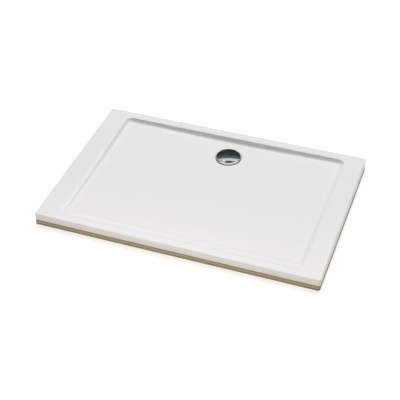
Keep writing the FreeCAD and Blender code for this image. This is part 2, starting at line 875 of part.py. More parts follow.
bead_width = cover_radius - crown
bead_turn = math.radians(45)
bead_middle = (
    crown + bead_width * math.sin(bead_turn),
    crown_height - size("cover_lip") * (1 - math.cos(bead_turn)),
)
cover_blank = turned_body("cover_blank", [
    (0, lip_bottom),
    (cover_radius, lip_bottom),
    bead_middle,
    (crown, crown_height),
    (crown, top),
    (0, top),
])
inner_curve = crown_curve - number("cover_sheet")
inner_crown = crown - cover_sheet * 0.5
inner_crown_height = top - cover_sheet - crown_drop(inner_crown.number, inner_curve)
cover_hollow = turned_body("cover_hollow", [
    (0, lip_bottom),
    (cover_radius - cover_sheet, lip_bottom),
    (inner_crown, inner_crown_height),
    (inner_crown, top),
    (0, top),
])
domed_blank = common("domed_blank", cover_blank, crown_ball("crown_outside", crown_curve))
domed_hollow = common("domed_hollow", cover_hollow, crown_ball("crown_inside", inner_curve))
waste_cover = cut("waste_cover", domed_blank, domed_hollow)

carrier, carrier_hole = size("carrier_radius"), size("carrier_opening_radius")
leg_outside = size("leg_outer_radius")
leg_corner = math.hypot(leg_outside.number, number("leg_width") / 2)
leg_top = top - cover_sheet - crown_drop(leg_corner, inner_curve) - size("carrier_gap")
plate_top = leg_top - size("carrier_fall")
plate = size("carrier_thickness")
cover_carrier = flat_ring("cover_carrier", carrier_hole, carrier, plate_top - plate, plate)
add_round(cover_carrier, "legs", "Pad", LEDGE_TOP, leg_top - LEDGE_TOP,
          slot_at(leg_outside - size("leg_thickness"), leg_outside, size("leg_width")), fixings)

# ------------------------------------------------------------------------------------
# Check every object, then write each sub-part
# ------------------------------------------------------------------------------------

SUB_PARTS = [
    tray_shell, reinforcement_layer, core_filler, base_board,
    left_batten, right_batten, front_batten, back_batten,
    lower_gasket, upper_gasket, waste_flange, waste_body, screw_inserts, flange_screws,
    hair_strainer, cover_carrier, waste_cover,
]

doc.recompute()
failed = [item.Name for item in doc.Objects if {"Invalid", "Error"} & set(item.State)]
for item in SUB_PARTS:
    if item.Shape.isNull() or not item.Shape.isValid():
        failed.append(item.Label)
if failed:
    raise RuntimeError("failed objects: " + ", ".join(failed))

os.makedirs("parts", exist_ok=True)
for item in SUB_PARTS:
    item.Shape.exportStep(f"parts/{item.Label}.step")
    solids = len(item.Shape.Solids)
    print(f"{item.Label:22s} solids {solids:2d} volume {item.Shape.Volume / 1000:10.2f} cm3")
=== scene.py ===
# %% [markdown]
# # A shower tray, dressed for its portrait
#
# The construction model of the tray is already packed as a frame of named parts at their real
# size. This notebook gives every part its surface: a smooth acrylic skin, a sawn board, a
# chromed cover and the fittings under it. Four parts get a finer shape in place of the plain one,
# and nothing moves. Lengths are in metres, the origin is at the middle of the underside, +Z is up.

import math

import bmesh
import bpy
from mathutils import Matrix, Vector


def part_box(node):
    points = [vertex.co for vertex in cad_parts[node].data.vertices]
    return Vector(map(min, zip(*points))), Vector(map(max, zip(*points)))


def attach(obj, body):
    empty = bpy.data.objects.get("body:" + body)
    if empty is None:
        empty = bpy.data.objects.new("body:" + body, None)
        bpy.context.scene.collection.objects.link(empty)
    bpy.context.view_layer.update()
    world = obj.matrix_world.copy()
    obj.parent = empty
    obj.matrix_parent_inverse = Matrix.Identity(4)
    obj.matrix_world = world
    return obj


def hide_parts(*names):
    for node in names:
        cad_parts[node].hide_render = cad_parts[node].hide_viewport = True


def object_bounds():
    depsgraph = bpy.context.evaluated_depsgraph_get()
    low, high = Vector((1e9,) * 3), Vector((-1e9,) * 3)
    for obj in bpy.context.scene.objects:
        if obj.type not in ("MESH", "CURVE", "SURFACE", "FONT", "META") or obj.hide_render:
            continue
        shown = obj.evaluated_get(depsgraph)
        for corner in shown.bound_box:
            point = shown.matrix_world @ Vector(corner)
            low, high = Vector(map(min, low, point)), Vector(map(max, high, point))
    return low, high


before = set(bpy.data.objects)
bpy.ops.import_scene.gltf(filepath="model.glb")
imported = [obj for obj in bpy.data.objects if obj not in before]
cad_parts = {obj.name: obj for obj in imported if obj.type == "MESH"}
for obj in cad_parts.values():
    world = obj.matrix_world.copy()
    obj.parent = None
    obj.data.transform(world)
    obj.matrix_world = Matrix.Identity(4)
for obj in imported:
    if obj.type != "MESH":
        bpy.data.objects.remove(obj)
cad_low, cad_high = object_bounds()
scene = bpy.context.scene
print("construction box", [round(value, 4) for value in (*cad_low, *cad_high)])

# %% [markdown]
# ## The camera
#
# A product picture of a flat thing is taken from well above it and a little to one side. The
# direction is written as an azimuth and an elevation, the way a photographer would say it, and
# the camera then backs away along that direction. A long lens keeps the far edge almost as long
# as the near one.

# %% Place the camera
CAMERA_AZIMUTH = math.radians(20.154)
CAMERA_ELEVATION = math.radians(39.807)
CAMERA_ROLL = math.radians(-0.774)
CAMERA_DISTANCE = 4.1754
CAMERA_SLIDE = (-0.02278, -0.06257)
SENSOR_WIDTH = 36.0
IMAGE_PIXELS = 400
FOCAL_PIXELS = 992.38


def linked(name, data):
    """A new object in the scene."""
    made = bpy.data.objects.new(name, data)
    scene.collection.objects.link(made)
    return made


def add_camera():
    """A camera that looks at the middle of the rim's plane, slid a little off centre."""
    camera = linked("camera", bpy.data.cameras.new("camera"))
    camera.data.sensor_width = SENSOR_WIDTH
    camera.data.lens = SENSOR_WIDTH * FOCAL_PIXELS / IMAGE_PIXELS
    camera.matrix_world = (
        Matrix.Translation((0, 0, cad_high.z))
        @ Matrix.Rotation(CAMERA_AZIMUTH, 4, "Z")
        @ Matrix.Rotation(math.pi / 2 - CAMERA_ELEVATION, 4, "X")
        @ Matrix.Rotation(CAMERA_ROLL, 4, "Z")
        @ Matrix.Translation((*CAMERA_SLIDE, CAMERA_DISTANCE)))
    scene.camera = camera
    return camera


camera = add_camera()
print("camera at", [round(value, 3) for value in camera.location], "lens", round(camera.data.lens, 1))

# %% [markdown]
# ## Writing node trees as sums
#
# A finish is a network of nodes, and a network is hard to read. Here one small class wraps a
# socket and gives it the signs of arithmetic, so that `mask * 0.2 + 0.1` adds the two Math nodes
# that it says. Every other node comes from one method, `add`, which is told the node's type, its
# settings and what goes into its sockets.

# %% A socket that can be added and multiplied
class Link:
    """What leaves a node's first socket, or another that is asked for by name or number.

    Arithmetic on it adds Math nodes to its tree.
    """

    def __init__(self, nodes, node, key=0):
        self.nodes = nodes
        self.node = node
        self.key = key

    def __getitem__(self, key):
        return Link(self.nodes, self.node, key)

    @property
    def socket(self):
        return self.node.outputs[self.key]

    def math(self, operation, *others):
        values = dict(enumerate((self, *others)))
        return self.nodes.add("ShaderNodeMath", values, operation=operation)

    def __add__(self, other):
        return self.math("ADD", other)

    def __sub__(self, other):
        return self.math("SUBTRACT", other)

    def __mul__(self, other):
        return self.math("MULTIPLY", other)

    def __truediv__(self, other):
        return self.math("DIVIDE", other)

    def __rsub__(self, other):
        return self.nodes.number(other).math("SUBTRACT", self)

    __radd__ = __add__
    __rmul__ = __mul__

    def fade(self, low, high):
        """0 below low and 1 above high, with a soft change between."""
        values = {"Value": self, "From Min": low, "From Max": high}
        return self.nodes.add("ShaderNodeMapRange", values, interpolation_type="SMOOTHSTEP")["Result"]


# %% One method for every node
class Nodes:
    """A node tree that hands out its nodes' sockets as Links."""

    def __init__(self, tree):
        self.tree = tree

    def add(self, kind, values=None, **settings):
        """Adds a node, makes its settings, then fills its sockets by name or by number."""
        node = self.tree.nodes.new(kind)
        for name, setting in settings.items():
            if name == "stops":
                self.fill_ramp(node.color_ramp, setting)
            else:
                setattr(node, name, setting)
        for key, value in (values or {}).items():
            socket = node.inputs[key]
            if isinstance(value, Link):
                self.tree.links.new(value.socket, socket)
            else:
                socket.default_value = value
        return Link(self, node)

    def fill_ramp(self, ramp, stops):
        while len(ramp.elements) < len(stops):
            ramp.elements.new(1.0)
        for element, (position, colour) in zip(ramp.elements, stops):
            element.position = position
            element.color = (*colour, 1.0)

    def number(self, value):
        made = self.add("ShaderNodeValue")
        made.socket.default_value = value
        return made

    def mix(self, share, first, second):
        """A colour between two colours."""
        first, second = (c if isinstance(c, Link) else (*c, 1.0) for c in (first, second))
        return self.add("ShaderNodeMix", {0: share, 6: first, 7: second}, data_type="RGBA")[2]

    def place(self):
        """The place on the piece, in metres."""
        return self.add("ShaderNodeTexCoord")["Object"]

    def scaled(self, scale, turn=(0, 0, 0), centre=(0, 0, 0)):
        """The place on the piece, stretched and then turned about a centre."""
        moved = self.add("ShaderNodeVectorMath", {0: self.place(), 1: centre}, operation="SUBTRACT")
        values = {"Vector": moved, "Rotation": turn, "Scale": scale}
        return self.add("ShaderNodeMapping", values)

    def split(self, vector):
        made = self.add("ShaderNodeSeparateXYZ", {0: vector})
        return made[0], made[1], made[2]

    def noise(self, scale, detail=2.0, roughness=0.5, turn=(0, 0, 0), vector=None):
        """Noise over the piece. Three scales squeeze it along the axes, before a turn."""
        if isinstance(scale, tuple):
            vector, scale = self.scaled(scale, turn), 1.0
        return self.add("ShaderNodeTexNoise", {
            "Vector": vector or self.place(), "Scale": scale, "Detail": detail,
            "Roughness": roughness})

    def cells(self, vector, scale, feature="F1"):
        """A pattern of cells: how far a point is from a cell's middle, or from its edge."""
        values = {"Vector": vector, "Scale": scale}
        return self.add("ShaderNodeTexVoronoi", values, feature=feature)["Distance"]

    def ramp(self, value, stops):
        return self.add("ShaderNodeValToRGB", {0: value}, stops=stops)

    def bump(self, height, strength, distance):
        values = {"Height": height, "Strength": strength, "Distance": distance}
        return self.add("ShaderNodeBump", values)


# %% A finish is a named function of its nodes
FINISHES = {}


def new_material(name):
    """An empty material and its nodes."""
    material = bpy.data.materials.new(name)
    material.use_nodes = True
    material.node_tree.nodes.clear()
    return material, Nodes(material.node_tree)


def finish_of(**fixed):
    """Makes the material that a function describes, under the function's name.

    The function gets the nodes and returns what varies over the surface, by the shader's
    socket names. The fixed values are the same all over and are set on the shader itself.
    """
    def make(describe):
        name = describe.__name__
        FINISHES[name], nodes = new_material(name)
        shader = nodes.add("ShaderNodeBsdfPrincipled", {**fixed, **describe(nodes)})
        nodes.add("ShaderNodeOutputMaterial", {"Surface": shader})
        print("finish", name, "has", len(nodes.tree.nodes), "nodes")
        return describe
    return make


def dress(piece, name):
    """Gives a piece one finish."""
    piece.data.materials.clear()
    piece.data.materials.append(FINISHES[name])


# %% [markdown]
# ## White acrylic
#
# The visible skin of a shower tray is a sheet of cast acrylic that was drawn over a mould while
# hot. It is an even, slightly warm white. Its gloss is broken by a very faint orange peel, and
# the floor, where people stand, is a little duller than the rim. An even white with a plain
# gloss would look like paper or like paint, so the finish varies its roughness in two scales.

# %% The acrylic finish
ACRYLIC_WHITE = (0.815, 0.813, 0.812)
ACRYLIC_SHADE = (0.802, 0.801, 0.799)
TRODDEN_BELOW, FRESH_ABOVE = 0.040, 0.054


@finish_of(**{"IOR": 1.49, "Coat Roughness": 0.06})
def white_acrylic(nodes):
    cloud = nodes.noise(3.0, detail=3.0)
    peel = nodes.noise(160.0, detail=1.0)
    scuffs = nodes.noise((18, 260, 60), detail=3.0, turn=(0, 0, 0.5))
    height = nodes.split(nodes.place())[2]
    trodden = 1.0 - height.fade(TRODDEN_BELOW, FRESH_ABOVE)
    roughness = cloud * 0.05 + scuffs.fade(0.55, 0.75) * trodden * 0.05 + trodden * 0.03 + 0.17
    return {
        "Base Color": nodes.mix(cloud, ACRYLIC_WHITE, ACRYLIC_SHADE),
        "Roughness": roughness,
        "Coat Weight": 0.14 - trodden * 0.06,
        "Normal": nodes.bump(peel, 0.05, 0.0004),
    }


# %% [markdown]
# ## The board
#
# Under the acrylic lies a thick board that was sawn to size, so its edge shows what it is made
# of: thin veneers, each with its own tone, a dark glue line between them, and the fine upright
# teeth marks of the saw. The layers follow the height alone, and the grain runs along the edge.

# %% The board's finish
BOARD_LIGHT = (0.520, 0.434, 0.284)
BOARD_MIDDLE = (0.452, 0.378, 0.238)
BOARD_DARK = (0.265, 0.203, 0.115)
BOARD_VENEER = 0.0050


@finish_of(IOR=1.45)
def wood_board(nodes):
    height = nodes.split(nodes.place())[2]
    sway = nodes.noise((4, 4, 40), detail=2.0)
    layer = height / BOARD_VENEER + sway * 0.3
    number = layer.math("FLOOR")
    within = layer - number
    tone = nodes.add("ShaderNodeTexWhiteNoise", {"W": number}, noise_dimensions="1D")["Value"]
    grain = nodes.noise((9, 9, 900), detail=6.0, roughness=0.65)
    flecks = nodes.noise((60, 60, 1400), detail=3.0)
    teeth = nodes.noise((700, 700, 12), detail=2.0)
    glue = 1.0 - within.fade(0.0, 0.14)
    shade = tone * 0.55 + grain * 0.7 - 0.1
    colour = nodes.ramp(shade, [(0.15, BOARD_DARK), (0.5, BOARD_MIDDLE), (0.85, BOARD_LIGHT)])
    colour = nodes.mix(glue * 0.6, colour, BOARD_DARK)
    colour = nodes.mix(flecks.fade(0.58, 0.72) * 0.5, colour, BOARD_DARK)
    relief = grain * 0.5 + teeth * 0.3 - glue * 0.4
    return {
        "Base Color": colour,
        "Roughness": 0.62 + grain * 0.2,
        "Normal": nodes.bump(relief, 0.35, 0.0006),
    }


# %% [markdown]
# ## Metals
#
# Chrome is a mirror with a thin haze of wiping marks, so its roughness varies and its colour
# hardly does. The flange under the cover is pressed from stainless sheet and brushed in rings
# round its own axis: the angle round the waste is stretched and the distance from it is
# squeezed, which draws circles.

# %% Chrome, steel and brass
WASTE_AXIS = ((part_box("waste_flange")[0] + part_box("waste_flange")[1]) / 2).to_2d()
CHROME = (0.80, 0.82, 0.84)
STEEL = (0.72, 0.72, 0.70)
BRASS = (0.72, 0.50, 0.22)


def from_waste(nodes):
    """The place on the piece, measured from the waste axis along each of the three axes."""
    return nodes.split(nodes.scaled((1, 1, 1), centre=(*WASTE_AXIS, 0)))


def two_tones(nodes, mask, first, second, roughness, *relief):
    """A surface between two tones. Its relief, if any, is a height, a strength and a distance."""
    varying = {"Base Color": nodes.mix(mask, first, second), "Roughness": roughness}
    return {**varying, "Normal": nodes.bump(*relief)} if relief else varying


@finish_of(Metallic=1.0)
def chrome_plate(nodes):
    wiped = nodes.noise((90, 900, 90), detail=3.0, turn=(0, 0, 0.7))
    cloud = nodes.noise(40.0, detail=2.0)
    roughness = 0.03 + wiped.fade(0.5, 0.8) * 0.05 + cloud * 0.02
    return two_tones(nodes, cloud, CHROME, (0.74, 0.77, 0.80), roughness)


@finish_of(Metallic=1.0)
def stainless_steel(nodes):
    fineness = 2600.0
    across, along, height = from_waste(nodes)
    reach = (across * across + along * along).math("SQRT")
    turn = along.math("ARCTAN2", across)
    rings = nodes.add("ShaderNodeCombineXYZ", {
        0: reach * fineness, 1: turn * 1.5, 2: height * fineness})
    brushed = nodes.noise(1.0, detail=3.0, roughness=0.6, vector=rings)
    return two_tones(
        nodes, brushed.fade(0.35, 0.65), STEEL, (0.44, 0.44, 0.43),
        0.16 + brushed * 0.14, brushed, 0.25, 0.00010)


@finish_of(Metallic=1.0)
def steel_screw(nodes):
    cloud = nodes.noise(900.0, detail=2.0)
    return two_tones(nodes, cloud, (0.60, 0.61, 0.62), (0.46, 0.46, 0.46), 0.2 + cloud * 0.2)


@finish_of(Metallic=1.0)
def brass_insert(nodes):
    cloud = nodes.noise(700.0, detail=3.0)
    return two_tones(nodes, cloud, BRASS, (0.50, 0.33, 0.14), 0.25 + cloud * 0.25)


# %% [markdown]
# ## Rubber, plastics, glass fibre, foam and timber
#
# The rest of the pieces are hidden in use and seen only when the waste is opened or the tray is
# turned over, but they are finished all the same. Each has one large, slow change of tone and
# one fine texture at the scale of the real stuff.

# %% Rubber and plastics
@finish_of(IOR=1.5)
def black_rubber(nodes):
    grain = nodes.noise(1500.0, detail=2.0)
    bloom = nodes.noise(45.0, detail=3.0)
    return two_tones(
        nodes, bloom.fade(0.45, 0.75), (0.018, 0.018, 0.018), (0.045, 0.045, 0.043),
        0.55 + bloom * 0.25, grain, 0.25, 0.0001)


def moulded(nodes, light, dark):
    """Spark-eroded texture of an injection-moulded plastic."""
    grain = nodes.noise(2200.0, detail=1.0)
    flow = nodes.noise(30.0, detail=2.0)
    return two_tones(nodes, flow, light, dark, 0.36 + grain * 0.14, grain, 0.12, 0.00006)


@finish_of(**{"Subsurface Weight": 0.05, "Subsurface Scale": 0.002})
def white_polypropylene(nodes):
    return moulded(nodes, (0.74, 0.74, 0.72), (0.68, 0.68, 0.66))


@finish_of()
def grey_polypropylene(nodes):
    return moulded(nodes, (0.30, 0.31, 0.32), (0.24, 0.25, 0.26))


# %% Glass laminate, foam and timber
@finish_of(IOR=1.55)
def glass_laminate(nodes):
    strands = nodes.cells(nodes.scaled((60, 420, 60), turn=(0, 0, 0.6)), 1.0, "DISTANCE_TO_EDGE")
    crossing = nodes.cells(nodes.scaled((420, 60, 60), turn=(0, 0, 0.2)), 1.0, "DISTANCE_TO_EDGE")
    mat = strands.math("MINIMUM", crossing)
    return two_tones(
        nodes, mat.fade(0.02, 0.25), (0.62, 0.60, 0.50), (0.42, 0.42, 0.32),
        0.3 + mat * 0.4, mat, 0.4, 0.0004)


@finish_of(IOR=1.3)
def rigid_foam(nodes):
    bubbles = nodes.cells(nodes.place(), 700.0)
    cloud = nodes.noise(20.0, detail=2.0)
    return two_tones(
        nodes, cloud, (0.66, 0.56, 0.36), (0.54, 0.43, 0.25),
        0.85 + bubbles * 0.1, bubbles, 0.6, 0.0005)


@finish_of(IOR=1.45)
def timber(nodes):
    across, along, height = nodes.split(nodes.place())
    sway = nodes.noise((3, 3, 30), detail=2.0)
    years = ((across + along * 0.02) * 420.0 + height * 160.0 + sway * 6.0).math("SINE")
    fibre = nodes.noise((25, 25, 1200), detail=4.0)
    tone = years * 0.25 + fibre * 0.5 + 0.25
    return {
        "Base Color": nodes.ramp(tone, [
            (0.1, (0.36, 0.22, 0.10)), (0.6, (0.56, 0.38, 0.20)), (1.0, (0.66, 0.48, 0.28))]),
        "Roughness": 0.6 + fibre * 0.2,
        "Normal": nodes.bump(tone, 0.3, 0.0005),
    }


# %% Dress the parts of the frame
FINISHED_PARTS = {
    "white_acrylic": ["tray_shell"],
    "glass_laminate": ["reinforcement_layer"],
    "rigid_foam": ["core_filler"],
    "wood_board": ["base_board"],
    "timber": ["left_batten", "right_batten", "front_batten", "back_batten"],
    "black_rubber": ["lower_gasket", "upper_gasket"],
    "stainless_steel": ["waste_flange"],
    "white_polypropylene": ["waste_body"],
    "brass_insert": ["screw_inserts"],
    "steel_screw": ["flange_screws"],
    "grey_polypropylene": ["hair_strainer", "cover_carrier"],
    "chrome_plate": ["waste_cover"],
}
for finish, parts in FINISHED_PARTS.items():
    for part in parts:
        dress(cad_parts[part], finish)
    print(finish, "on", *parts)

# %% [markdown]
# ## Rings of points
#
# The tray's skin is one sheet that runs from the board's edge up over the rim, down the walls,
# across the floor and into the waste. Seen from above, any line that runs round it is a rounded
# rectangle or, at the waste, a circle. So the sheet is made of such rings, one inside the other,
# all with the same number of points, and neighbouring rings are joined by a band of four-sided
# faces. The alternative, a grid over the whole tray, would have to be very fine to hold the
# narrow roundings.

# %% A ring is a rounded four-sided line
TRAY_LOW, TRAY_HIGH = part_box("tray_shell")
RIM = TRAY_HIGH.z
HALF_LENGTH, HALF_WIDTH = TRAY_HIGH.x, TRAY_HIGH.y
LONG_POINTS, SHORT_POINTS, CORNER_POINTS = 72, 48, 12
# The signs of x and y at the front left corner and on, anticlockwise. The third side is the back.
FOUR_CORNERS = ((-1, -1), (1, -1), (1, 1), (-1, 1))
BACK_SIDE = 2


def straight(start, end, count):
    """Points from start up to, but not including, end."""
    return [start.lerp(end, step / count) for step in range(count)]


def bend(before, after, centre, count):
    """Points round a corner from before up to, but not including, after."""
    first, last = (before - centre).to_2d(), (after - centre).to_2d()
    swing = first.angle_signed(last)
    points = []
    for step in range(count):
        share = step / count
        turned = centre.to_2d() + Matrix.Rotation(-swing * share, 2) @ first
        points.append(Vector((*turned, before.z + (after.z - before.z) * share)))
    return points


def sag_share(share):
    """0 at both ends of the back wall and 1 in its middle, without a kink at the ends."""
    return math.sin(math.pi * share) ** 1.5


def ring(corners, radius, middle_sag=0.0):
    """A closed ring through four rounded corners, front left first and anticlockwise.

    middle_sag lowers the back side by that much beside the waste.
    """
    ends = []
    for index, corner in enumerate(corners):
        to_before = (corners[index - 1] - corner).to_2d().normalized()
        to_after = (corners[(index + 1) % 4] - corner).to_2d().normalized()
        angle = to_before.angle(to_after)
        reach = radius / math.tan(angle / 2)
        middle = (to_before + to_after).normalized() * (radius / math.sin(angle / 2))
        ends.append([corner + way.to_3d() for way in (to_before * reach, to_after * reach, middle)])
    points = []
    for index, (before, after, centre) in enumerate(ends):
        points += bend(before, after, centre, CORNER_POINTS)
        end = ends[(index + 1) % 4][0]
        side = straight(after, end, LONG_POINTS if index % 2 == 0 else SHORT_POINTS)
        if index == BACK_SIDE:
            for point in side:
                point.z -= middle_sag * sag_share((point.x - after.x) / (end.x - after.x))
        points += side
    return points


def rectangle(inset, height, radius):
    """A ring that follows the tray's outside."""
    x, y = HALF_LENGTH - inset, HALF_WIDTH - inset
    return ring([Vector((i * x, j * y, height)) for i, j in FOUR_CORNERS], radius)


print("a ring has", len(rectangle(0.0, RIM, 0.009)), "points")

# %% [markdown]
# ## The walls of the basin
#
# A moulded wall is a rounding off the rim followed by a hollow rounding onto the floor, with a
# straight piece between them where the wall is deep enough. The side and front walls of this
# tray are soft and wide, and the back wall beside the waste is short and steep. One function
# works out the section for all of them from two radii, the depth and the steepest angle.

# %% A wall's section
# The radii of the roll off the rim and of the cove onto the floor
SIDE_RADII = (0.031, 0.024)
FRONT_RADII = (0.090, 0.090)
BACK_RADII = (0.0015, 0.0185)
DEPTH_BACK_CORNERS, DEPTH_BACK_MIDDLE, DEPTH_FRONT = 0.017, 0.0215, 0.0125
STEEPEST = math.radians(84)
ROLL_STEPS, COVE_STEPS = 12, 10


def wall_section(radii, depth):
    """(inset, drop) pairs from the rim to the floor."""
    roll, cove = radii
    angle = min(STEEPEST, math.acos(1.0 - depth / (roll + cove)))
    straight_drop = max(0.0, depth - (roll + cove) * (1 - math.cos(angle)))
    foot = (roll + cove) * math.sin(angle) + straight_drop / math.tan(angle)
    points = []
    for step in range(ROLL_STEPS + 1):
        turn = angle * step / (ROLL_STEPS + 0.5)
        points.append((roll * math.sin(turn), roll * (1 - math.cos(turn))))
    for step in range(COVE_STEPS + 1):
        turn = angle * (1 - (step + 0.5) / (COVE_STEPS + 0.5))
        points.append((foot - cove * math.sin(turn), depth - cove * (1 - math.cos(turn))))
    return points


front_wall = wall_section(FRONT_RADII, DEPTH_FRONT)
side_front, side_back = (
    wall_section(SIDE_RADII, depth) for depth in (DEPTH_FRONT, DEPTH_BACK_CORNERS))
back_ends, back_middle = (
    wall_section(BACK_RADII, depth) for depth in (DEPTH_BACK_CORNERS, DEPTH_BACK_MIDDLE))
print("the side wall is", round(side_back[-1][0] * 1000, 1), "mm wide at the back")

# %% The basin's rings, from the rim down to the foot of the walls
RIM_FRONT, RIM_BACK = 0.024, 0.043
# The width of the rim at the tray's ends, beside each corner of the basin
RIM_ENDS = (0.089, 0.073, 0.062, 0.075)
BASIN_RADIUS_TOP, BASIN_RADIUS_FLOOR = 0.036, 0.020


def basin_ring(step):
    """The ring that joins the same step of all four walls."""
    at_front = (side_front[step], front_wall[step], RIM_FRONT)
    at_back = (side_back[step], back_ends[step], RIM_BACK)
    corners = []
    for (i, j), rim_end in zip(FOUR_CORNERS, RIM_ENDS):
        (side_inset, _), (inset, drop), rim = at_front if j < 0 else at_back
        x, y = HALF_LENGTH - rim_end - side_inset, HALF_WIDTH - rim - inset
        corners.append(Vector((i * x, j * y, RIM - drop)))
    share = step / (len(side_back) - 1)
    radius = BASIN_RADIUS_TOP + (BASIN_RADIUS_FLOOR - BASIN_RADIUS_TOP) * share
    return ring(corners, radius, back_middle[step][1] - back_ends[step][1])


basin_rings = [basin_ring(step) for step in range(len(side_back))]
print(len(basin_rings), "rings down the walls")

# %% [markdown]
# ## The floor and the waste's seat
#
# Water has to find the waste from every corner, so the floor falls all the way to it. The ring
# at the foot of the walls is drawn in, step by step, until it is a circle about the waste. A
# shallow seat is pressed in there for the flange, with a soft lip, and a hole goes through it.

# %% Floor rings
DEPTH_WASTE = 0.0225
FLOOR_HEIGHT = RIM - DEPTH_WASTE
FLOOR_STEPS = 26
CROWDING = 1.35
SOFT_FALL = 0.35
POOL_RADIUS = 0.092


def circle(radius, height, like):
    """A circle about the waste whose points lie on the same rays as another ring's."""
    rays = [(point.to_2d() - WASTE_AXIS).normalized() for point in like]
    return [Vector((*(WASTE_AXIS + ray * radius), height)) for ray in rays]


def floor_rings(foot):
    """Rings that draw in from the foot of the walls to the pool round the waste.

    They lie closer together near the pool, and part of the fall starts and ends softly.
    """
    pool = circle(POOL_RADIUS, FLOOR_HEIGHT, foot)
    made = []
    for step in range(1, FLOOR_STEPS + 1):
        drawn = 1 - (1 - step / FLOOR_STEPS) ** CROWDING
        fall = drawn * drawn * (3 - 2 * drawn) * SOFT_FALL + drawn * (1 - SOFT_FALL)
        made.append([
            Vector((*outer.to_2d().lerp(inner.to_2d(), drawn), outer.z + (inner.z - outer.z) * fall))
            for outer, inner in zip(foot, pool)])
    return made


foot = basin_rings[-1]
floor = floor_rings(foot)
print("floor falls", round((foot[0].z - FLOOR_HEIGHT) * 1000, 1), "mm from the front corner")

# %% The seat's rings
SEAT_RADIUS, SEAT_DEPTH = 0.058, 0.0035
SEAT_LIP, LIP_SWEEP, LIP_STEPS = 0.0012, 75, 4
POOL_RINGS = (0.012, 0.006)
HOLE_RADIUS, HOLE_WALL = 0.045, 0.0036
HOLE_BORDER, HOLE_CHAMFER = 0.002, 0.0005


def arc(centre, radius, first, last, steps):
    """(reach, height) points along an arc, angles in degrees from straight up."""
    points = []
    for step in range(steps + 1):
        turn = math.radians(first + (last - first) * step / steps)
        points.append((centre[0] + radius * math.sin(turn), centre[1] + radius * math.cos(turn)))
    return points


def seat_rings(pool):
    """The level pool, the lip of the seat, the seat's floor and the edge of the hole."""
    low = FLOOR_HEIGHT - SEAT_DEPTH
    top_centre = (SEAT_RADIUS + 2 * SEAT_LIP, FLOOR_HEIGHT - SEAT_LIP)
    low_centre = (SEAT_RADIUS - SEAT_LIP, low + SEAT_LIP)
    profile = [(SEAT_RADIUS + outset, FLOOR_HEIGHT) for outset in POOL_RINGS]
    profile += arc(top_centre, SEAT_LIP, 0, -LIP_SWEEP, LIP_STEPS)
    profile += arc(low_centre, SEAT_LIP, 180 - LIP_SWEEP, 180, LIP_STEPS)
    profile += [(HOLE_RADIUS + HOLE_BORDER, low), (HOLE_RADIUS + HOLE_CHAMFER, low)]
    profile += [(HOLE_RADIUS, low - HOLE_CHAMFER), (HOLE_RADIUS, low - HOLE_WALL)]
    return [circle(radius, height, pool) for radius, height in profile]


seat = seat_rings(floor[-1])
print(len(seat), "rings from the pool to the foot of the hole")

# %% The skin from edge to waste, as one sheet
EDGE_RADIUS, EDGE_STEPS = 0.004, 7
CORNER_RADIUS = 0.009
SKIRT_STEP, EDGE_STEP = 0.002, 0.003
RIM_OUTSETS = (0.012, 0.003)


def skirt_rings():
    """Up the outside from the board, over the edge and in to the rim."""
    foot_heights = (TRAY_LOW.z, TRAY_LOW.z + SKIRT_STEP)
    made = [rectangle(0.0, height, CORNER_RADIUS) for height in foot_heights]
    for inset, height in arc((EDGE_RADIUS, RIM - EDGE_RADIUS), EDGE_RADIUS, -90, 0, EDGE_STEPS):
        made.append(rectangle(inset, height, CORNER_RADIUS - inset))
    made.append(rectangle(EDGE_RADIUS + EDGE_STEP, RIM, CORNER_RADIUS - EDGE_RADIUS))
    return made


def near_basin(outset):
    """A level ring on the rim, just outside the first ring of the walls."""
    made = []
    for point, following in zip(basin_rings[0], basin_rings[1]):
        outward = (point - following).to_2d().normalized() * outset
        made.append(Vector((*(point.to_2d() + outward), RIM)))
    return made


def sheet_mesh(name, rings):
    """Bands of four-sided faces between neighbouring rings."""
    count = len(rings[0])
    faces = [
        (row + i, row + (i + 1) % count, row + count + (i + 1) % count, row + count + i)
        for row in range(0, count * (len(rings) - 1), count) for i in range(count)]
    mesh = bpy.data.meshes.new(name)
    mesh.from_pydata([point for points in rings for point in points], [], faces)
    return mesh


rim_rings = [near_basin(outset) for outset in RIM_OUTSETS]
skin = sheet_mesh("acrylic_skin", skirt_rings() + rim_rings + basin_rings + floor + seat)
print("skin has", len(skin.polygons), "faces")

# %% Give the sheet its thickness
SHEET = 0.0038


def taken_from(helper, name):
    """The mesh that a helper's modifiers make, as a plain mesh. The helper is removed."""
    graph = bpy.context.evaluated_depsgraph_get()
    mesh = bpy.data.meshes.new_from_object(helper.evaluated_get(graph))
    mesh.name = name
    bpy.data.objects.remove(helper)
    return mesh


def thickened(mesh, thickness):
    """A copy of a sheet with a back face, that far behind the front one."""
    helper = linked("helper", mesh)
    solidify = helper.modifiers.new("thickness", "SOLIDIFY")
    solidify.thickness = thickness
    solidify.offset = -1.0
    solidify.use_even_offset = False
    return taken_from(helper, mesh.name)


def new_piece(name, mesh, sharp_degrees, finish, body, node):
    """A piece of the object: smooth up to its creases, in its finish, in place of a node."""
    mesh.polygons.foreach_set("use_smooth", [True] * len(mesh.polygons))
    mesh.set_sharp_from_angle(angle=math.radians(sharp_degrees))
    piece = linked(name, mesh)
    dress(piece, finish)
    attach(piece, body)
    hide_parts(node)


acrylic = thickened(skin, SHEET)
new_piece("acrylic_tray", acrylic, 40, "white_acrylic", "tray", "tray_shell")
print("acrylic sheet", len(acrylic.polygons), "faces")

# %% [markdown]
# ## The cover
#
# The chromed cover is a shallow dome with a rolled edge. It is turned, so its shape is a line
# spun about the waste axis. The line's arcs are worked out from the crown's width and rise, the
# same way a metal spinner would lay out the former. Under the rolled edge hangs a short skirt.
# It comes down nearer to the floor than the construction's lip does, because a dark gap all round
# would show there, and a real cover hides what is under it. It still clears the flange.

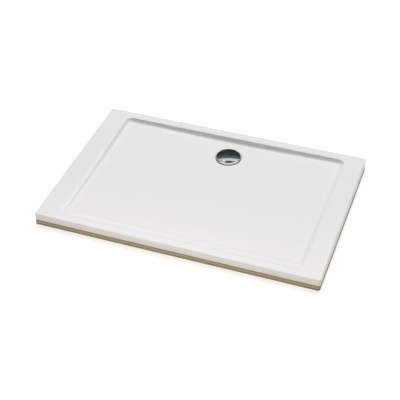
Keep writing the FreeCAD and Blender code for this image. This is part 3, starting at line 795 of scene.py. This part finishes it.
# %% Turn a profile about an upright axis
SAME_PLACE = 1e-6


def mesh_of(shape, name):
    """The mesh of a finished shape, with its faces turned outwards."""
    bmesh.ops.recalc_face_normals(shape, faces=shape.faces)
    mesh = bpy.data.meshes.new(name)
    shape.to_mesh(mesh)
    shape.free()
    return mesh


def turned_mesh(name, profile, centre, steps, closed=False):
    """A profile of (reach, height) points spun about an upright axis through centre.

    A closed profile makes a ring. An open one that ends on the axis is closed at that pole.
    """
    shape = bmesh.new()
    verts = [shape.verts.new((centre.x + reach, centre.y, height)) for reach, height in profile]
    pairs = list(zip(verts, verts[1:])) + ([(verts[-1], verts[0])] if closed else [])
    edges = [shape.edges.new(pair) for pair in pairs]
    bmesh.ops.spin(
        shape, geom=verts + edges, cent=(*centre, 0), axis=(0, 0, 1),
        angle=2 * math.pi, steps=steps, use_merge=True)
    bmesh.ops.remove_doubles(shape, verts=shape.verts, dist=SAME_PLACE)
    return mesh_of(shape, name)


# %% The cover's profile
COVER_LOW, COVER_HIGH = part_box("waste_cover")
COVER_RADIUS = (COVER_HIGH.x - COVER_LOW.x) / 2
COVER_SKIRT = 0.0021
COVER_TOP, COVER_LIP = COVER_HIGH.z, COVER_LOW.z - COVER_SKIRT
COVER_RISE = 0.0031
COVER_SHEET = 0.0012
BEAD_RADIUS = 0.0044
LIP_CHAMFER = 0.0003
INNER_CROWN = 0.97
COVER_TURNS = 128


def cover_profile():
    """Crown, bead and lip outside, then back up the inside."""
    crown = COVER_RADIUS - BEAD_RADIUS
    curve = (crown ** 2 + COVER_RISE ** 2) / (2 * COVER_RISE)
    slope = math.degrees(math.asin(crown / curve))
    centre = (0.0, COVER_TOP - curve)
    outside = arc(centre, curve, 0, slope, 24)
    # The bead's arc goes on from the crown's, so its middle lies on the same ray
    bead_reach, bead_height = arc(centre, curve - BEAD_RADIUS, slope, slope, 1)[0]
    bead = arc((bead_reach, bead_height), BEAD_RADIUS, slope, 90, 10)[1:]
    stretch = (COVER_RADIUS - bead_reach) / BEAD_RADIUS
    bead = [(bead_reach + (reach - bead_reach) * stretch, height) for reach, height in bead]
    inside_reach = COVER_RADIUS - COVER_SHEET
    lip = [
        (COVER_RADIUS, COVER_LIP + LIP_CHAMFER), (COVER_RADIUS - LIP_CHAMFER, COVER_LIP),
        (inside_reach, COVER_LIP), (inside_reach, bead_height)]
    inner = arc(centre, curve - COVER_SHEET, slope * INNER_CROWN, 0, 16)
    return outside + bead + lip + inner


dome = turned_mesh("chrome_cover", cover_profile(), WASTE_AXIS, COVER_TURNS)
new_piece("chrome_cover", dome, 35, "chrome_plate", "cover", "waste_cover")
print("cover", round(COVER_RADIUS * 2000, 1), "mm wide, top at", round(COVER_TOP * 1000, 1), "mm")

# %% [markdown]
# ## Growing what repeats
#
# Screws, ribs and slots repeat about the waste axis. One of each is modelled at its true distance
# from the axis, and a Geometry Nodes tree sets copies of it round a turn. The tree has named
# inputs, so a maker can change the count without touching the model. Its copies are instances,
# which weigh nothing but are lost outside Blender, so the tree ends by making them real.

# %% Run a tree and keep the mesh it makes
SOCKETS = {int: "NodeSocketInt", float: "NodeSocketFloat", bpy.types.Mesh: "NodeSocketObject"}


def grown(name, given, finish, build):
    """The mesh that a tree makes from its named inputs; build returns the tree's geometry.

    A mesh reaches the tree as an object, which is removed when its copies are made.
    """
    tree = bpy.data.node_groups.new(name, "GeometryNodeTree")
    for label, value in given.items():
        tree.interface.new_socket(label, in_out="INPUT", socket_type=SOCKETS[type(value)])
    tree.interface.new_socket("Geometry", in_out="OUTPUT", socket_type="NodeSocketGeometry")
    nodes = Nodes(tree)
    shape = build(nodes, nodes.add("NodeGroupInput"))
    real = nodes.add("GeometryNodeRealizeInstances", {"Geometry": shape})
    painted = nodes.add("GeometryNodeSetMaterial", {
        "Geometry": real, "Material": FINISHES[finish]})
    nodes.add("NodeGroupOutput", {"Geometry": painted})
    units = {
        label: linked(label, value) for label, value in given.items()
        if isinstance(value, bpy.types.Mesh)}
    holder = linked(name, bpy.data.meshes.new(name))
    modifier = holder.modifiers.new("grow", "NODES")
    modifier.node_group = tree
    for socket in tree.interface.items_tree:
        if socket.in_out == "INPUT":
            modifier[socket.identifier] = {**given, **units}[socket.name]
    mesh = taken_from(holder, name)
    for unit in units.values():
        bpy.data.objects.remove(unit)
    return mesh


def round_waste(nodes, unit, count, first_turn=0.0):
    """Copies of a unit turned about the waste axis, evenly, from first_turn on."""
    index = nodes.add("GeometryNodeInputIndex")
    turned = nodes.add("ShaderNodeCombineXYZ", {
        2: index * (2 * math.pi) / count + first_turn})
    spots = nodes.add("GeometryNodePoints", {"Count": count, "Position": (*WASTE_AXIS, 0)})
    return nodes.add("GeometryNodeInstanceOnPoints", {
        "Points": spots, "Instance": unit, "Rotation": turned})


def shape_of(nodes, unit):
    """The geometry of an object that the tree is given."""
    info = nodes.add("GeometryNodeObjectInfo", {"Object": unit}, transform_space="ORIGINAL")
    return info["Geometry"]


def joined(nodes, *shapes):
    """Several geometries as one. A joining socket takes its links one by one."""
    made = nodes.add("GeometryNodeJoinGeometry")
    for shape in shapes:
        nodes.tree.links.new(shape.socket, made.node.inputs[0])
    return made


# %% Round the corners of a profile
LONGEST_SHARE = 0.45


def rounded(profile, radius, steps=4, closed=True):
    """A profile whose corners become short arcs, none longer than a share of its side."""
    corners = [Vector(point) for point in profile]
    count = len(corners)
    made = []
    for index, corner in enumerate(corners):
        if not closed and index in (0, count - 1):
            made.append(tuple(corner))
            continue
        back, on = corners[index - 1] - corner, corners[(index + 1) % count] - corner
        reach = min(radius, back.length * LONGEST_SHARE, on.length * LONGEST_SHARE)
        start, end = corner + back.normalized() * reach, corner + on.normalized() * reach
        for step in range(steps + 1):
            share = step / steps
            made.append(tuple(start.lerp(corner, share).lerp(corner.lerp(end, share), share)))
    return made


print("a square rounded in 4 steps has", len(rounded([(0, 0), (1, 0), (1, 1), (0, 1)], 0.2)), "points")

# %% [markdown]
# ## The flange screws
#
# Four cheese-head screws pull the flange onto the rubber. They are seen when the cover is off. The
# head is turned with a soft edge and left open at the top, and then a face with a sunken cross is
# sewn into it. A Boolean would cut the cross too, but its cuts run along the edges of the turned
# head and leave slivers. The thread is a real helix: a spiral curve with no change of radius,
# given a small three-sided section.

# %% One screw, with its recess
SCREW_LOW, SCREW_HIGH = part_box("flange_screws")
BASKET_LOW, BASKET_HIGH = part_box("hair_strainer")
# The flange's ledge carries both the screws' heads and the strainer, which hangs this far below it.
BASKET_HANGS = 0.011
LEDGE = BASKET_LOW.z + BASKET_HANGS
FIXING_CIRCLE = 0.0385
HEAD_RADIUS, HEAD_MOUTH, HEAD_ROUNDING = 0.0035, 0.002625, 0.00045
SHANK_RADIUS, THREAD_DEPTH = 0.00195, 0.00028
CORE_RADIUS = SHANK_RADIUS - THREAD_DEPTH
POINT_LENGTH = 0.0006
RECESS_LENGTH, RECESS_WIDTH, RECESS_DEPTH, TIP_TAPER = 0.0040, 0.0011, 0.0013, 0.62


def cross_outline(centre, height, taper):
    """Twelve corners of a cross, its arms shortened by the taper."""
    corners = []
    for quarter in range(4):
        turn = Matrix.Rotation(quarter * math.pi / 2, 2)
        for long, side in ((RECESS_LENGTH * taper, -1), (RECESS_LENGTH * taper, 1), (RECESS_WIDTH, 1)):
            corner = turn @ Vector((long / 2, side * RECESS_WIDTH / 2))
            corners.append((centre.x + corner.x, centre.y + corner.y, height))
    return corners


def with_recess(mesh, centre, foot, top):
    """Closes the open top of a turned mesh with a face that has a cross sunk into it."""
    shape = bmesh.new()
    shape.from_mesh(mesh)
    border = [edge for edge in shape.edges if edge.is_boundary]
    mouth = [shape.verts.new(corner) for corner in cross_outline(centre, top, 1.0)]
    bottom = [shape.verts.new(corner) for corner in cross_outline(centre, foot, TIP_TAPER)]
    count = len(mouth)
    for i in range(count):
        j = (i + 1) % count
        shape.faces.new((mouth[i], mouth[j], bottom[j], bottom[i]))
        border.append(shape.edges.get((mouth[i], mouth[j])))
    shape.faces.new(bottom)
    bmesh.ops.triangle_fill(shape, use_beauty=True, edges=border)
    return mesh_of(shape, mesh.name)


def screw_mesh():
    centre = Vector((FIXING_CIRCLE, 0.0))
    foot, top = SCREW_LOW.z, SCREW_HIGH.z
    profile = rounded([
        (HEAD_MOUTH, top), (HEAD_RADIUS, top), (HEAD_RADIUS, LEDGE), (CORE_RADIUS, LEDGE),
        (CORE_RADIUS, foot + POINT_LENGTH), (CORE_RADIUS / 2, foot), (0, foot)],
        HEAD_ROUNDING, closed=False)
    return with_recess(turned_mesh("screw", profile, centre, 40), centre, top - RECESS_DEPTH, top)


one_screw = screw_mesh()
print("one screw has", len(one_screw.polygons), "faces without its thread")

# %% Its thread, then four of it
THREAD_PITCH = 0.0007
THREAD_START, THREAD_GAP = 0.0008, 0.0022
THREAD_LENGTH = LEDGE - THREAD_GAP - SCREW_LOW.z - THREAD_START
FIRST_SCREW = math.pi / 4


def build_screws(nodes, given):
    turns = given["Thread length"] / given["Pitch"]
    helix = nodes.add("GeometryNodeCurveSpiral", {
        "Resolution": 18, "Rotations": turns, "Start Radius": given["Thread radius"],
        "End Radius": given["Thread radius"], "Height": given["Thread length"]})
    section = nodes.add("GeometryNodeCurvePrimitiveCircle", {
        "Resolution": 3, "Radius": THREAD_DEPTH})
    thread = nodes.add("GeometryNodeCurveToMesh", {
        "Curve": helix, "Profile Curve": section, "Fill Caps": True})
    placed = nodes.add("GeometryNodeTransform", {
        "Geometry": thread, "Translation": (FIXING_CIRCLE, 0, SCREW_LOW.z + THREAD_START)})
    whole = joined(nodes, shape_of(nodes, given["Screw"]), placed)
    return round_waste(nodes, whole, given["Count"], FIRST_SCREW)


screws = grown("cheese_head_screws", {
    "Screw": one_screw, "Count": 4, "Pitch": THREAD_PITCH, "Thread length": THREAD_LENGTH,
    "Thread radius": CORE_RADIUS}, "steel_screw", build_screws)
new_piece("cheese_head_screws", screws, 30, "steel_screw", "tray", "flange_screws")
print("4 screws with", round(THREAD_LENGTH / THREAD_PITCH, 1), "turns of thread each")

# %% [markdown]
# ## The hair strainer
#
# A strainer is moulded in one piece: a rim that hangs on the flange's ledge, a slotted wall, a
# slotted floor and a grip to lift it by. The wall between two slots is a curved panel and the
# floor between two slots is a wedge, so the slots appear where the copies leave a gap.

# %% Measures of the strainer
RIM_RADIUS = (BASKET_HIGH.x - BASKET_LOW.x) / 2
BODY_RADIUS, BASKET_WALL, RIM_THICKNESS = 0.0302, 0.0018, 0.0015
INNER_RADIUS = BODY_RADIUS - BASKET_WALL
BASKET_FLOOR = BASKET_LOW.z + BASKET_WALL
SLOT_WIDTH = 0.003
SLOT_LOW, SLOT_HIGH = BASKET_FLOOR + 0.001, LEDGE - 0.0015
HUB_RADIUS, FLOOR_SLOT_END = 0.0075, INNER_RADIUS - 0.005
STEM_RADIUS, GRIP_RADIUS, GRIP_THICKNESS = 0.0026, 0.0055, 0.0025
WALL_SLOTS, FLOOR_SLOTS = 16, 8
RING_ROUNDING, GRIP_ROUNDING, SLOT_ROUNDING = 0.0005, 0.0009, 0.00025
OVERLAP = 0.0008
SKIN_STEP = 0.0001
print("strainer", round(RIM_RADIUS * 2000, 1), "mm wide,", WALL_SLOTS, "+", FLOOR_SLOTS, "slots")


# %% What lies between two slots, and what is turned
def wedge(name, inner, outer, low, high, count, steps=8):
    """A closed block between two radii and two heights, as wide as the slots leave it."""
    shape = bmesh.new()
    rows = []
    for reach in (inner, outer):
        half = math.pi / count - math.asin(SLOT_WIDTH / 2 / reach)
        for height in (low, high):
            rows.append([
                shape.verts.new((reach * math.cos(turn), reach * math.sin(turn), height))
                for turn in (half * (2 * step / steps - 1) for step in range(steps + 1))])
    inner_low, inner_high, outer_low, outer_high = rows
    around = [inner_low, inner_high, outer_high, outer_low]
    for first, second in zip(around, around[1:] + around[:1]):
        for i in range(steps):
            shape.faces.new((first[i], first[i + 1], second[i + 1], second[i]))
    for i in (0, steps):
        shape.faces.new([row[i] for row in around])
    bmesh.ops.recalc_face_normals(shape, faces=shape.faces)
    edges = [edge for edge in shape.edges if edge.is_manifold and edge.calc_face_angle() > 1.0]
    bmesh.ops.bevel(shape, geom=edges, offset=SLOT_ROUNDING, segments=2, affect="EDGES")
    return mesh_of(shape, name)


def turned_parts():
    """The strainer's rim, its foot ring and its hub with the grip, each closed."""
    rim = [
        (INNER_RADIUS, SLOT_HIGH), (BODY_RADIUS, SLOT_HIGH), (BODY_RADIUS, LEDGE),
        (RIM_RADIUS, LEDGE), (RIM_RADIUS, LEDGE + RIM_THICKNESS), (INNER_RADIUS, LEDGE + RIM_THICKNESS)]
    foot_ring = [
        (FLOOR_SLOT_END, BASKET_LOW.z), (BODY_RADIUS, BASKET_LOW.z), (BODY_RADIUS, SLOT_LOW),
        (INNER_RADIUS, SLOT_LOW), (INNER_RADIUS, BASKET_FLOOR), (FLOOR_SLOT_END, BASKET_FLOOR)]
    grip_foot = BASKET_HIGH.z - GRIP_THICKNESS
    hub = [
        (0, BASKET_LOW.z), (HUB_RADIUS, BASKET_LOW.z), (HUB_RADIUS, BASKET_FLOOR),
        (STEM_RADIUS, BASKET_FLOOR), (STEM_RADIUS, grip_foot), (GRIP_RADIUS, grip_foot),
        (GRIP_RADIUS, BASKET_HIGH.z), (0, BASKET_HIGH.z)]
    middle = Vector((0.0, 0.0))
    rings = {
        label: turned_mesh(label, rounded(profile, RING_ROUNDING), middle, 96, closed=True)
        for label, profile in (("Rim", rim), ("Foot ring", foot_ring))}
    hub_profile = rounded(hub, GRIP_ROUNDING, closed=False)
    return {**rings, "Hub": turned_mesh("Hub", hub_profile, middle, 48)}


# %% Grow the strainer
def build_strainer(nodes, given):
    once = nodes.add("FunctionNodeInputInt", integer=1)
    counts = {
        "Rim": once, "Foot ring": once, "Hub": once,
        "Panel": given["Panels"], "Spoke": given["Spokes"]}
    return joined(nodes, *[
        round_waste(nodes, shape_of(nodes, given[label]), count)
        for label, count in counts.items()])


panel = wedge(
    "panel", INNER_RADIUS + SKIN_STEP, BODY_RADIUS - SKIN_STEP,
    SLOT_LOW - OVERLAP, SLOT_HIGH + OVERLAP, WALL_SLOTS)
spoke = wedge(
    "spoke", HUB_RADIUS - OVERLAP, FLOOR_SLOT_END + OVERLAP,
    BASKET_LOW.z + SKIN_STEP, BASKET_FLOOR - SKIN_STEP, FLOOR_SLOTS)
basket = grown("strainer_basket", {
    **turned_parts(), "Panel": panel, "Panels": WALL_SLOTS, "Spoke": spoke, "Spokes": FLOOR_SLOTS},
    "grey_polypropylene", build_strainer)
new_piece("strainer_basket", basket, 35, "grey_polypropylene", "strainer", "hair_strainer")
print("strainer has", len(basket.polygons), "faces")

# %% [markdown]
# ## The stage
#
# The tray lies on a pale floor. A wide lamp hangs high above and behind it, so that the inner back
# wall stays in shade and its line can be read, and both ends of the tray are lit alike. A second
# lamp hangs low in front and lights the sawn edge. The floor's paper is a light grey, which throws
# little light up at the sides: only to the camera and in reflections does it glow white, and a
# shadow still shows on it. Under the tray it doesn't glow, so the open waste looks into the dark.

# %% Sky and lamps
SKY_LIGHT = 0.23
KEY_POWER = 424.0
FRONT_POWER = 7.6
GLOSS_LIGHT = 0.80
WARM = (1.0, 0.91, 0.80)


def add_sky():
    world = bpy.data.worlds.new("studio")
    scene.world = world
    world.use_nodes = True
    world.node_tree.nodes.clear()
    nodes = Nodes(world.node_tree)
    rays = nodes.add("ShaderNodeLightPath")
    seen = rays["Is Camera Ray"].math("MAXIMUM", rays["Is Transmission Ray"])
    mirrored = rays["Is Glossy Ray"] * (GLOSS_LIGHT - SKY_LIGHT)
    strength = seen * (1.0 - SKY_LIGHT) + mirrored + SKY_LIGHT
    sky = nodes.add("ShaderNodeBackground", {"Color": (1, 1, 1, 1), "Strength": strength})
    nodes.add("ShaderNodeOutputWorld", {"Surface": sky})


def add_lamp(name, place, target, size, power, tint=(1.0, 1.0, 1.0)):
    lamp = bpy.data.lights.new(name, "AREA")
    lamp.color = tint
    lamp.shape = "RECTANGLE"
    lamp.size, lamp.size_y = size
    lamp.energy = power
    holder = linked(name, lamp)
    holder.location = place
    holder.rotation_mode = "QUATERNION"
    holder.rotation_quaternion = (Vector(target) - Vector(place)).to_track_quat("-Z", "Y")
    holder.visible_glossy = False


scene.view_settings.view_transform = "Standard"
add_sky()
add_lamp("overhead", (-0.4, 3.4, 5.8), (0, 0, 0), (4.5, 3.5), KEY_POWER)
add_lamp("low_front", (0.1, -1.15, 0.45), (0.1, -1.10, 0), (1.8, 0.5), FRONT_POWER, WARM)

# %% [markdown]
# ## Cards for the chrome
#
# Chrome has no colour of its own, so a chromed dome looks like whatever stands round it. A
# photographer sets cards there. The far half of this cover shows something dark, and under it
# runs a bright band. The dome's crown sends the camera's sight back up behind the tray, so a dark
# card stands there with a pale one above it. Two torn cards hang a little nearer and higher, and
# make the soft dark and grey patches at the near side of the dome. Two grey ones stand low at the
# sides: the sloping side walls of the basin mirror them and so get their faint line, while the
# front wall, which slopes the other way, mirrors the gap between them and stays even. Only
# reflections see the cards.

# %% What the cards are
CARD_DISTANCE = 3.0
CARD_FEATHER = 0.25
CARD_GAP = 0.05
CARD_STEPS = 24
LOW_TONES = ((0.20, 0.20, 0.20), (0.24, 0.24, 0.24))
# Each card: its tones at the foot and at the top, then the headings and the elevations that it
# fills, in degrees, seen from the waste. A heading of 0 is straight behind, to the right is positive.
CARDS = {
    "dark_card": ((0.024, 0.030, 0.034), (0.140, 0.165, 0.170), (-120, 75), (20, 43.5)),
    "left_low_card": (*LOW_TONES, (-110, -36), (0, 20)),
    "right_low_card": (*LOW_TONES, (10, 75), (0, 20)),
    "band_card": ((0.58, 0.70, 0.73), (0.74, 0.78, 0.80), (-120, 75), (43.5, 47)),
    "bar_card": ((0.05, 0.05, 0.05), (0.12, 0.11, 0.11), (-27, -1), (46.5, 62)),
    "side_card": ((0.30, 0.30, 0.31), (0.42, 0.41, 0.41), (-46, -24), (42, 64)),
}
TORN_CARDS = ("bar_card", "side_card")


def streaked(nodes, low, high, foot_tone, top_tone):
    """A card's own tone, paler in its upper half and streaked level and upright."""
    rise = nodes.split(nodes.place())[2].fade((low + high) / 2, high)
    upright = nodes.noise((3.2, 3.2, 0.9), detail=3.0)
    level = nodes.noise((0.9, 0.9, 9.0), detail=3.0)
    streaks = upright * 0.6 + level * 1.5 - 1.05
    return nodes.mix((rise + streaks).math("MAXIMUM", 0.0), foot_tone, top_tone)


def torn(nodes, left, right, low, high):
    """1 on a card and 0 past its torn, feathered edges."""
    across, along, height = from_waste(nodes)
    heading = across.math("ARCTAN2", along)
    soft, border = (right - left) * CARD_FEATHER, (high - low) * CARD_FEATHER
    middle = heading.fade(left, left + soft) * (1.0 - heading.fade(right - soft, right))
    middle = middle * height.fade(low, low + border) * (1.0 - height.fade(high - border, high))
    tear = nodes.noise((2.6, 2.6, 4.5), detail=2.0)
    return (middle + tear * 0.7 - 0.35).fade(0.18, 0.62) * middle.fade(0.0, 0.15)


# %% Stand the cards behind the tray
def on_stage(name, vertices, faces, material):
    """Something that stands by the object and isn't part of it."""
    mesh = bpy.data.meshes.new(name)
    mesh.from_pydata(vertices, [], faces)
    mesh.materials.append(material)
    prop = linked(name, mesh)
    return prop


def add_card(name, foot_tone, top_tone, headings, elevations):
    """A curved, upright card that gives off its own tone."""
    distance = CARD_DISTANCE - (CARD_GAP if name in TORN_CARDS else 0.0)
    low, high = (distance * math.tan(math.radians(value)) for value in elevations)
    left, right = (math.radians(value) for value in headings)
    material, nodes = new_material(name)
    tone = streaked(nodes, low, high, foot_tone, top_tone)
    paper = nodes.add("ShaderNodeEmission", {"Color": tone, "Strength": 1.0})
    clear = nodes.add("ShaderNodeBsdfTransparent")
    inside = torn(nodes, left, right, low, high) if name in TORN_CARDS else 1.0
    card_face = nodes.add("ShaderNodeMixShader", {0: inside, 1: clear, 2: paper})
    nodes.add("ShaderNodeOutputMaterial", {"Surface": card_face})
    vertices = []
    for step in range(CARD_STEPS + 1):
        turn = left + (right - left) * step / CARD_STEPS
        x = WASTE_AXIS.x + distance * math.sin(turn)
        y = WASTE_AXIS.y + distance * math.cos(turn)
        vertices += [(x, y, low), (x, y, high)]
    faces = [(2 * i, 2 * i + 1, 2 * i + 3, 2 * i + 2) for i in range(CARD_STEPS)]
    card = on_stage(name, vertices, faces, material)
    card.visible_camera = False
    card.visible_diffuse = False
    card.visible_shadow = False


for name, card in CARDS.items():
    add_card(name, *card)
print(len(CARDS), "cards stand", CARD_DISTANCE, "m behind the waste")

# %% Lay the floor
FLOOR_REACH = 30.0
FLOOR_COLOUR = (0.62, 0.62, 0.62, 1.0)
FLOOR_GLOW = 0.60
# Distances out from the tray's edge, between which the glow starts and then grows to full white.
GLOW_STARTS, GLOW_GROWS = (-0.05, -0.02), (0.5, 5.0)


def add_floor():
    """A level floor whose glow only the camera and reflections see."""
    material, nodes = new_material("floor")
    rays = nodes.add("ShaderNodeLightPath")
    seen = rays["Is Camera Ray"].math("MAXIMUM", rays["Is Glossy Ray"])
    across, along, _ = nodes.split(nodes.place())
    past_end = across.math("ABSOLUTE") - HALF_LENGTH
    outside = past_end.math("MAXIMUM", along.math("ABSOLUTE") - HALF_WIDTH)
    glow = outside.fade(*GLOW_GROWS) * (1.0 - FLOOR_GLOW) + FLOOR_GLOW
    paper = nodes.add("ShaderNodeBsdfDiffuse", {"Color": FLOOR_COLOUR})
    white = nodes.add("ShaderNodeEmission", {
        "Color": (1, 1, 1, 1), "Strength": seen * outside.fade(*GLOW_STARTS) * glow})
    lit = nodes.add("ShaderNodeAddShader", {0: paper, 1: white})
    nodes.add("ShaderNodeOutputMaterial", {"Surface": lit})
    corners = [(i * FLOOR_REACH, j * FLOOR_REACH, 0.0) for i, j in FOUR_CORNERS]
    on_stage("floor", corners, [(0, 1, 2, 3)], material)


add_floor()
print("floor", 2 * FLOOR_REACH, "m wide")
